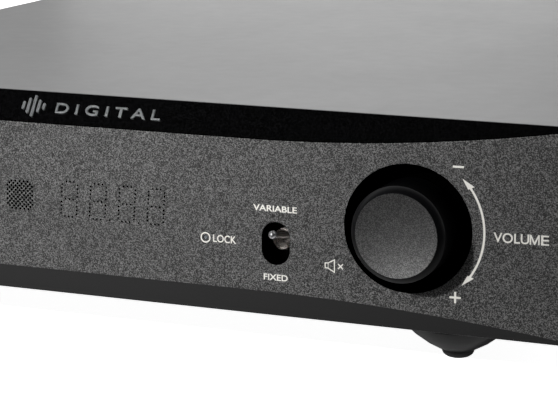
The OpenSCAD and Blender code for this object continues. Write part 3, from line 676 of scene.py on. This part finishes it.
def build_top_cover():
    """Folded cover: round folds along its sides, and a flat dark edge at the front."""
    bm = cad_copy("top_cover")

    def along_fold(edge):
        level = all(abs(v.co.z - TOP_Z) < 1e-5 for v in edge.verts)
        first, second = (v.co.x for v in edge.verts)
        return level and abs(first) > HALF_W - 1e-5 and abs(first - second) < 1e-5

    def front_lip(edge):
        return all(abs(v.co.z - TOP_Z) < 1e-5 and v.co.y < FACE_Y + 12 * MM for v in edge.verts)

    round_edges(bm, FOLD_R, 5, along_fold)
    round_edges(bm, 0.12 * MM, 2, front_lip, 20)
    mesh = to_mesh("top_cover_shown", bm)
    regions = [int(face.center.y < FACE_Y + 5 * MM and face.normal.y < -0.7) for face in mesh.polygons]
    mesh.polygons.foreach_set("use_smooth", [not region for region in regions])
    piece = place("top_cover_shown", mesh, "root", "cover_grey",
                  [M["cover_grey"], M["panel_chamfer"]], ["top_cover"])
    mesh.polygons.foreach_set("material_index", regions)
    return steady_normals(piece)


build_top_cover()

# ---- Volume knob ----

KNOB_LOW, KNOB_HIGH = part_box("volume_knob")
KNOB_R = (KNOB_HIGH.x - KNOB_LOW.x) / 2
DISC_R = KNOB_R - 1.4 * MM
DISH = 0.75 * MM
EDGE_W = 0.1 * MM
SHAFT_HOLE = 4.7 * MM
SHAFT_HOLE_R = 3.02 * MM
HOLLOW_R = 6.6 * MM
GRUB_OUT = 2 * MM
GRUB_R = 1.52 * MM


def build_knob():
    """Turned knob: a slightly dished disc, a thin cut edge, and a bevel and side in a near-black that is
    partly painted shade.
    """
    bm = bmesh.new()
    front = KNOB_LOW.y
    profile = [(0, front + DISH)]
    for i in range(1, 13):
        radius = (DISC_R - EDGE_W) * i / 12
        profile.append((radius, front + DISH * (1 - (radius / DISC_R) ** 2)))
    rim = front + 0.06 * MM
    profile += [(DISC_R, rim), (KNOB_R - 0.15 * MM, rim + 1.2 * MM), (KNOB_R, rim + 1.5 * MM)]
    profile += [(KNOB_R, KNOB_HIGH.y - 0.3 * MM), (KNOB_R - 0.3 * MM, KNOB_HIGH.y)]
    hollow_end, hole_end = FACE_Y + 1.2 * MM, FACE_Y - SHAFT_HOLE
    profile += [(HOLLOW_R, KNOB_HIGH.y), (HOLLOW_R, hollow_end)]
    profile += [(SHAFT_HOLE_R, hollow_end), (SHAFT_HOLE_R, hole_end), (0, hole_end)]
    turned_y(bm, KNOB, profile, 128)
    mesh = to_mesh("volume_knob_shown", bm, 20)
    drill = bmesh.new()
    hole = Matrix.Translation((KNOB.x, FACE_Y - GRUB_OUT, KNOB.z - KNOB_R + 1 * MM))
    bmesh.ops.create_cone(drill, cap_ends=True, segments=24, radius1=GRUB_R, radius2=GRUB_R,
                          depth=10 * MM, matrix=hole)
    mesh = cut(mesh, to_mesh("drill", drill))
    mesh.set_sharp_from_angle(angle=CUT_SHARP)
    regions = []
    for face in mesh.polygons:
        radius = math.hypot(face.center.x - KNOB.x, face.center.z - KNOB.z)
        # Bevel, side and back take the near-black that is partly painted shade.
        if radius > DISC_R or face.normal.y > -0.5:
            regions.append(1)
        elif radius > DISC_R - EDGE_W:
            regions.append(2)
        else:
            regions.append(0)
    piece = place("volume_knob_shown", mesh, "knob_spin", "knob_grey",
                  [M["knob_grey"], M["knob_side_painted_shade"], M["knob_edge"]], ["volume_knob"])
    mesh.polygons.foreach_set("material_index", regions)
    return piece


build_knob()

# ---- Switch bush ----


def build_bush():
    """Threaded nickel-plated bush that the lever stands in."""
    low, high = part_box("toggle_bush")
    outer = (high.x - low.x) / 2
    mouth, bore, lead = 2.3 * MM, 1.65 * MM, 0.25 * MM
    pitch, groove = 0.5 * MM, 0.3 * MM
    outline = [(mouth, low.y), (outer - lead, low.y)]
    y = low.y + lead
    while y < high.y - pitch:
        outline += [(outer, y), (outer, y + 0.08 * MM), (outer - groove, y + pitch / 2)]
        y += pitch
    outline += [(outer, high.y - 0.1 * MM), (outer, high.y)]
    outline += [(bore, high.y), (bore, low.y + 4 * MM)]
    bm = bmesh.new()
    ring_y(bm, SLOT, outline, 48)
    return place("toggle_bush_threaded", to_mesh("toggle_bush_threaded", bm, 25), "root", "nickel",
                 [M["bush"]], ["toggle_bush"])


build_bush()

# ---- Pieces that keep their solid and gain round edges ----

EDGE_MM = {
    "base_tray": 0.25, "rear_panel": 0.25, "mains_inlet": 0.35, "fuse_drawer": 0.2,
    "power_switch_frame": 0.3, "power_rocker": 0.3, "xlr_shells": 0.25, "jack_shells": 0.2,
    "jack_insulators": 0.15, "usb_shell": 0.15, "optical_socket": 0.25, "optical_shutter": 0.15,
    "foot_cones": 0.3, "foot_pads": 0.15, "rear_screws": 0.12, "cover_screws": 0.1,
    "inlet_pins": 0.25, "usb_tongue": 0.2, "panel_brackets": 0.2,
}
for node, width_mm in EDGE_MM.items():
    softened(node, width_mm)

# ---- Printed legends on the front ----

INK_LOW, INK_HIGH = -0.03 * MM, 0.03 * MM
LINE_W = 0.5
CROSSING = 0.1


def front_ink(name, draw):
    """One printed legend on the face; draw adds its shapes to a bmesh."""
    bm = bmesh.new()
    draw(bm)
    return place(name, to_mesh(name, bm), "root", "white_plastic", [M["ink"]])


def word(text, x, z, cap, width, weight):
    """Function that prints a word on the face, centred on (x, z) in mm over the body's underside."""
    return lambda bm: lettering(bm, text, face_point, (x * MM, z * MM), cap * MM, width * MM,
                                INK_LOW, INK_HIGH, weight)


def line(bm, points, width=LINE_W, closed=False):
    """Adds a printed line on the face along (x, z) points in mm."""
    spots = [(x * MM, z * MM) for x, z in points]
    stroke(bm, spots, width * MM, face_point, INK_LOW, INK_HIGH, closed)


def line_over(bm, points, width, lift):
    """Adds a printed line that crosses another one, thicker by lift so that no faces coincide."""
    spots = [(x * MM, z * MM) for x, z in points]
    stroke(bm, spots, width * MM, face_point, INK_LOW * (1 - lift), INK_HIGH * (1 + lift))


KNOB_U, KNOB_V = KNOB.x / MM, (KNOB.z - BASE_Z) / MM
SLOT_U = SLOT.x / MM
LAMP_U, LAMP_V = LAMP.x / MM, (LAMP.z - BASE_Z) / MM
ARC_R = 18.15
ARC_FROM, ARC_TO = -34.6, 35.8


def volume_word(bm):
    """The word beside the turn arrow.

    Its M is drawn as an outline, since a thickened M would overlap itself.
    """
    left, foot, cap = KNOB_U + 20.3, KNOB_V - 1.6, 2.32
    for text, start, width in (("VOLU", 0, 8.18), ("E", 10.89, 1.82)):
        word(text, left + start + width / 2, foot + cap / 2, cap, width, 0.012)(bm)
    outline = [(0, 0), (0, cap), (0.34, cap), (1.13, 0.62), (1.92, cap), (2.26, cap), (2.26, 0)]
    outline += [(1.94, 0), (1.94, cap - 0.72), (1.27, 0), (0.99, 0), (0.32, cap - 0.72), (0.32, 0)]
    spots = [((left + 8.31 + u) * MM, (foot + v) * MM) for u, v in outline]
    prism(bm, spots, face_point, INK_LOW, INK_HIGH)


def turn_arrow(bm):
    """Arc round the recess with a solid head at each end."""
    def at(angle, radius=ARC_R):
        turn = math.radians(angle)
        return (KNOB_U + radius * math.cos(turn), KNOB_V + radius * math.sin(turn))

    steps = 36
    line(bm, [at(ARC_FROM + (ARC_TO - ARC_FROM) * i / steps) for i in range(steps + 1)])
    head = 9
    for end, way in ((ARC_FROM, -1), (ARC_TO, 1)):
        corners = [at(end + way * head, ARC_R - 0.1), at(end - way, ARC_R + 0.95), at(end, ARC_R - 0.65)]
        spots = [(u * MM, v * MM) for u, v in corners]
        prism(bm, spots, face_point, INK_LOW * (1 - CROSSING), INK_HIGH * (1 + CROSSING))


def minus_sign(bm):
    """Minus over the arrow's upper end."""
    line(bm, [(KNOB_U + 10.5, KNOB_V + 15.4), (KNOB_U + 13.1, KNOB_V + 15.4)])


def plus_sign(bm):
    """Plus under the arrow's lower end."""
    u, v, arm = KNOB_U + 11.6, KNOB_V - 15.4, 1.35
    line(bm, [(u - arm, v), (u + arm, v)])
    line_over(bm, [(u, v - arm), (u, v + arm)], LINE_W, CROSSING)


def mute_sign(bm):
    """Loudspeaker outline with a cross beside it."""
    u, v, thin = KNOB_U - 20, KNOB_V - 10.3, 0.24
    neck, mouth = u + 0.75, u + 2.3
    line(bm, [(u, v - 0.6), (neck, v - 0.6), (neck, v + 0.6), (u, v + 0.6)], thin, True)
    line(bm, [(neck, v - 0.65), (mouth, v - 1.5), (mouth, v + 1.5), (neck, v + 0.65)], thin, True)
    cross, arm = u + 3.8, 0.6
    for way, lift in ((-1, 0), (1, CROSSING)):
        line_over(bm, [(cross - arm, v - way * arm), (cross + arm, v + way * arm)], 0.28, lift)


def lamp_ring(bm):
    """Ring round the lamp."""
    steps, radius = 32, 1.15
    turns = [2 * math.pi * i / steps for i in range(steps)]
    ring = [(LAMP_U + radius * math.cos(turn), LAMP_V + radius * math.sin(turn)) for turn in turns]
    line(bm, ring, 0.3, True)


front_ink("legend_volume", volume_word)
front_ink("legend_variable", word("VARIABLE", SLOT_U - 0.2, 27.5, 1.5, 11.1, 0.018))
front_ink("legend_fixed", word("FIXED", SLOT_U, 10.8, 1.5, 6.15, 0.018))
front_ink("legend_lock", word("LOCK", LAMP_U + 5.0, LAMP_V, 1.85, 6.0, 0.01))
front_ink("legend_lock_ring", lamp_ring)
front_ink("legend_turn_arrow", turn_arrow)
front_ink("legend_minus", minus_sign)
front_ink("legend_plus", plus_sign)
front_ink("legend_mute", mute_sign)

# ---- Raised badge on the long chamfer ----

BADGE_LOW, BADGE_HIGH = -0.1 * MM, 0.42 * MM
CHAMFER_LEN = math.hypot(CHAMFER_D, CHAMFER_H)
# The bars, in mm on the chamfer
BARS_U, BARS_V = -28.1, 4.55
BAR_STEP = 1.4
BAR_R = 0.42
BAR_HEIGHTS = (2.2, 4.2, 5.8, 3.4, 1.8)


def build_badge():
    """Plain word and a level-meter sign of five round-ended bars."""
    bm = bmesh.new()
    lettering(bm, "DIGITAL", chamfer_point, (-4.9 * MM, CHAMFER_LEN / 2), 2.7 * MM, 28.4 * MM,
              BADGE_LOW, BADGE_HIGH, -0.016, 0.026, 1.5)
    steps = 16
    for i, tall in enumerate(BAR_HEIGHTS):
        outline = []
        for k in range(steps):
            angle = 2 * math.pi * k / steps
            lift = math.copysign(tall / 2 - BAR_R, math.sin(angle + 0.01))
            u = BARS_U + i * BAR_STEP + BAR_R * math.cos(angle)
            v = BARS_V + lift + BAR_R * math.sin(angle)
            outline.append((u * MM, v * MM))
        prism(bm, outline, chamfer_point, BADGE_LOW, BADGE_HIGH)
    round_edges(bm, 0.12 * MM, 2, lambda edge: all(v.co.x < -21 * MM for v in edge.verts), 60)
    return place("badge", to_mesh("badge", bm, 30), "root", "chrome_bright", [M["badge"]])


build_badge()

# ---- Printed legends on the rear ----


def rear_ink(name, text, x, z, cap, width):
    """One printed word on the rear panel, centred on (x, z), in mm."""
    bm = bmesh.new()
    lettering(bm, text, rear_point, (-x * MM, z * MM), cap * MM, width * MM, INK_LOW, INK_HIGH)
    return place(name, to_mesh(name, bm), "root", "white_plastic", [M["ink"]])


REAR_WORDS = [
    ("balanced_out", "BALANCED OUT", 81.5, 45.6, 1.9, 20), ("balanced_right", "R", 81.5, 38, 2.2, 1.7),
    ("balanced_left", "L", 50.6, 38, 2.2, 1.4), ("line_out", "LINE OUT", 40, 45.6, 1.9, 12.5),
    ("line_right", "R", 31, 36, 2.2, 1.7), ("line_left", "L", 31, 15, 2.2, 1.4),
    ("coax", "COAX", 18, 45.6, 1.9, 7.6),
    ("coax_1", "1", 9, 36, 2.2, 1.1), ("coax_2", "2", 9, 15, 2.2, 1.6),
    ("optical", "OPTICAL", -4, 45.6, 1.9, 11.2), ("usb", "USB", -4, 25.2, 1.9, 5.4),
    ("power", "POWER", -33, 40.2, 1.9, 9.6), ("mains", "AC IN", -82, 43.2, 1.9, 8.4),
    ("mains_fuse", "FUSE", -52, 14.4, 1.9, 6.6),
]
for name, text, x, z, cap, width in REAR_WORDS:
    rear_ink("rear_legend_" + name, text, x, z, cap, width)

# ---- Camera, floor and light ----

# Camera
TURN = math.radians(22.35)
DROP = math.radians(12.168)
DISTANCE = 503.6 * MM
AIM = Vector((40.97 * MM, FACE_Y, BASE_Z + 28.75 * MM))
LENS = 137.74

# Floor: how bright it looks to the camera, and how much light it gives off and throws back
FLOOR_REACH = 8.0
FLOOR_SEEN = 0.95
FLOOR_GLOW = 0.02
FLOOR_BEFORE = (0.015, 0.015, 0.015)
FLOOR_BESIDE = (0.45, 0.45, 0.45)

# World: strength over and behind the object, then before it near the floor and higher up
BACK_LIGHT = 0.9
FRONT_LOW = 0.025
FRONT_HIGH = 0.006

# Small lamp close by on the left, which throws the knob's shadow and fades to the right
KEY_PLACE = KNOB + Vector((-0.4, -0.79, 0.455)).normalized() * 250 * MM
KEY_AIM = Vector((-30 * MM, FACE_Y, KNOB.z))
KEY_SIZE = 12 * MM
KEY_POWER = 0.9

# Softboxes that only show as reflections: on the front and the knob, and on the cover
FRONT_BOX_PLACE = KNOB + Vector((-0.42, -0.82, 0.37)).normalized() * 600 * MM
FRONT_BOX_SIZE = 406 * MM
FRONT_BOX_POWER = 0.85
REAR_BOX_PLACE = Vector((-140 * MM, 373 * MM, 104 * MM))
REAR_BOX_AIM = Vector((-15 * MM, 47 * MM, TOP_Z))
REAR_BOX_WIDTH = 262 * MM
REAR_BOX_HEIGHT = 200 * MM
REAR_BOX_POWER = 0.098

# Lamp under the floor, which shows the object's underside
UNDERLIGHT_PLACE = Vector((0, 0, -350 * MM))
UNDERLIGHT_SIZE = 200 * MM
UNDERLIGHT_POWER = 1.6


def build_camera():
    """Camera at the photo's viewing angle."""
    data = bpy.data.cameras.new("camera")
    data.sensor_width = 36
    data.lens = LENS
    data.clip_start = 0.05
    camera = bpy.data.objects.new("camera", data)
    ahead = Vector((-math.sin(TURN) * math.cos(DROP), math.cos(TURN) * math.cos(DROP), -math.sin(DROP)))
    camera.location = AIM - ahead * DISTANCE
    camera.rotation_euler = (math.pi / 2 - DROP, 0, TURN)
    SCENE.collection.objects.link(camera)
    SCENE.camera = camera


def build_floor():
    """Pale floor, self-lit to the camera.

    From below it is clear, and lamps shine through it. It throws light up near the object and
    little before it.
    """
    made = Finish("floor_pale", 0.6)
    made.paint(made.colours(made.noise(60, 2), (0.86, 0.86, 0.86), (0.88, 0.88, 0.88)))
    made.shader.inputs["Specular IOR Level"].default_value = 0.0
    made.shader.inputs["Emission Color"].default_value = (1, 1, 1, 1)
    made.shader.inputs["Emission Strength"].default_value = FLOOR_SEEN
    spot = made.add("ShaderNodeSeparateXYZ")
    made.links.new(made.place, spot.inputs[0])
    near = made.span(spot.outputs["Y"], 0.0, 1.0, FACE_Y - 30 * MM, FACE_Y - 8 * MM)
    bounce = made.add("ShaderNodeBsdfDiffuse")
    made.links.new(made.colours(near, FLOOR_BEFORE, FLOOR_BESIDE), bounce.inputs["Color"])
    glow = made.add("ShaderNodeEmission")
    glow.inputs["Strength"].default_value = FLOOR_GLOW
    both = made.add("ShaderNodeAddShader")
    made.links.new(bounce.outputs[0], both.inputs[0])
    made.links.new(glow.outputs[0], both.inputs[1])
    clear = made.add("ShaderNodeBsdfTransparent")
    path = made.add("ShaderNodeLightPath")
    seen, shadow = path.outputs["Is Camera Ray"], path.outputs["Is Shadow Ray"]
    under = made.add("ShaderNodeNewGeometry").outputs["Backfacing"]
    upper = both.outputs[0]
    self_lit, through = made.shader.outputs[0], clear.outputs[0]
    for choice, other in ((seen, self_lit), (under, through), (shadow, through)):
        mix = made.add("ShaderNodeMixShader")
        made.links.new(choice, mix.inputs["Fac"])
        made.links.new(upper, mix.inputs[1])
        made.links.new(other, mix.inputs[2])
        upper = mix.outputs[0]
    made.links.new(upper, made.nodes["Material Output"].inputs["Surface"])
    mesh = bpy.data.meshes.new("floor")
    corners = [(x * FLOOR_REACH, y * FLOOR_REACH, 0) for x, y in ((-1, -1), (1, -1), (1, 1), (-1, 1))]
    mesh.from_pydata(corners, [], [(0, 1, 2, 3)])
    mesh.materials.append(made.material)
    floor = bpy.data.objects.new("floor", mesh)
    SCENE.collection.objects.link(floor)


def build_world():
    """Studio that is bright over and behind the object and dark before it. The camera sees white."""
    world = bpy.data.worlds.new("studio")
    world.use_nodes = True
    nodes, links = world.node_tree.nodes, world.node_tree.links
    unit = nodes.new("ShaderNodeVectorMath")
    unit.operation = "NORMALIZE"
    links.new(nodes.new("ShaderNodeTexCoord").outputs["Generated"], unit.inputs[0])
    way = nodes.new("ShaderNodeSeparateXYZ")
    links.new(unit.outputs[0], way.inputs[0])

    def ramp(source, start, end, low, high):
        """Smooth step from low to high as source goes from start to end."""
        node = nodes.new("ShaderNodeMapRange")
        node.interpolation_type = "SMOOTHSTEP"
        for socket, value in (("From Min", start), ("From Max", end), ("To Min", low), ("To Max", high)):
            node.inputs[socket].default_value = value
        links.new(source, node.inputs["Value"])
        return node.outputs["Result"]

    def choose(factor, first, level):
        """first where factor is 0, and level where it is 1."""
        node = nodes.new("ShaderNodeMix")
        node.inputs["B"].default_value = level
        links.new(factor, node.inputs["Factor"])
        links.new(first, node.inputs["A"])
        return node.outputs["Result"]

    before = ramp(way.outputs["Z"], 0.2, 0.45, FRONT_LOW, FRONT_HIGH)
    round_about = choose(ramp(way.outputs["Y"], -0.25, 0.15, 0.0, 1.0), before, BACK_LIGHT)
    level = choose(nodes.new("ShaderNodeLightPath").outputs["Is Camera Ray"], round_about, 1.0)
    links.new(level, nodes["Background"].inputs["Strength"])
    nodes["Background"].inputs["Color"].default_value = (1, 1, 1, 1)
    SCENE.world = world


def area_lamp(name, place, aim, power, shape, width, height):
    """Lamp that shines at aim and that the camera doesn't see."""
    data = bpy.data.lights.new(name, "AREA")
    data.shape = shape
    data.size = width
    data.size_y = height
    data.energy = power
    lamp = bpy.data.objects.new(name, data)
    lamp.location = place
    lamp.rotation_euler = (place - aim).to_track_quat("Z", "Y").to_euler()
    lamp.visible_camera = False
    SCENE.collection.objects.link(lamp)
    return lamp


def build_plain_lamp(name, place, aim, power, size):
    """Square lamp that lights the object but isn't mirrored by it."""
    lamp = area_lamp(name, place, aim, power, "SQUARE", size, size)
    lamp.visible_glossy = False


def build_softbox(name, place, aim, power, width, height):
    """Wide oval of light, which is only mirrored by the object and doesn't light it."""
    lamp = area_lamp(name, place, aim, power, "ELLIPSE", width, height)
    lamp.visible_diffuse = False


SCENE.view_settings.view_transform = "Standard"
build_camera()
build_floor()
build_world()
build_plain_lamp("key", KEY_PLACE, KEY_AIM, KEY_POWER, KEY_SIZE)
build_softbox("softbox_front", FRONT_BOX_PLACE, KNOB, FRONT_BOX_POWER, FRONT_BOX_SIZE, FRONT_BOX_SIZE)
build_softbox("softbox_rear", REAR_BOX_PLACE, REAR_BOX_AIM, REAR_BOX_POWER, REAR_BOX_WIDTH, REAR_BOX_HEIGHT)
build_plain_lamp("underlight", UNDERLIGHT_PLACE, Vector((0, 0, 0)), UNDERLIGHT_POWER, UNDERLIGHT_SIZE)
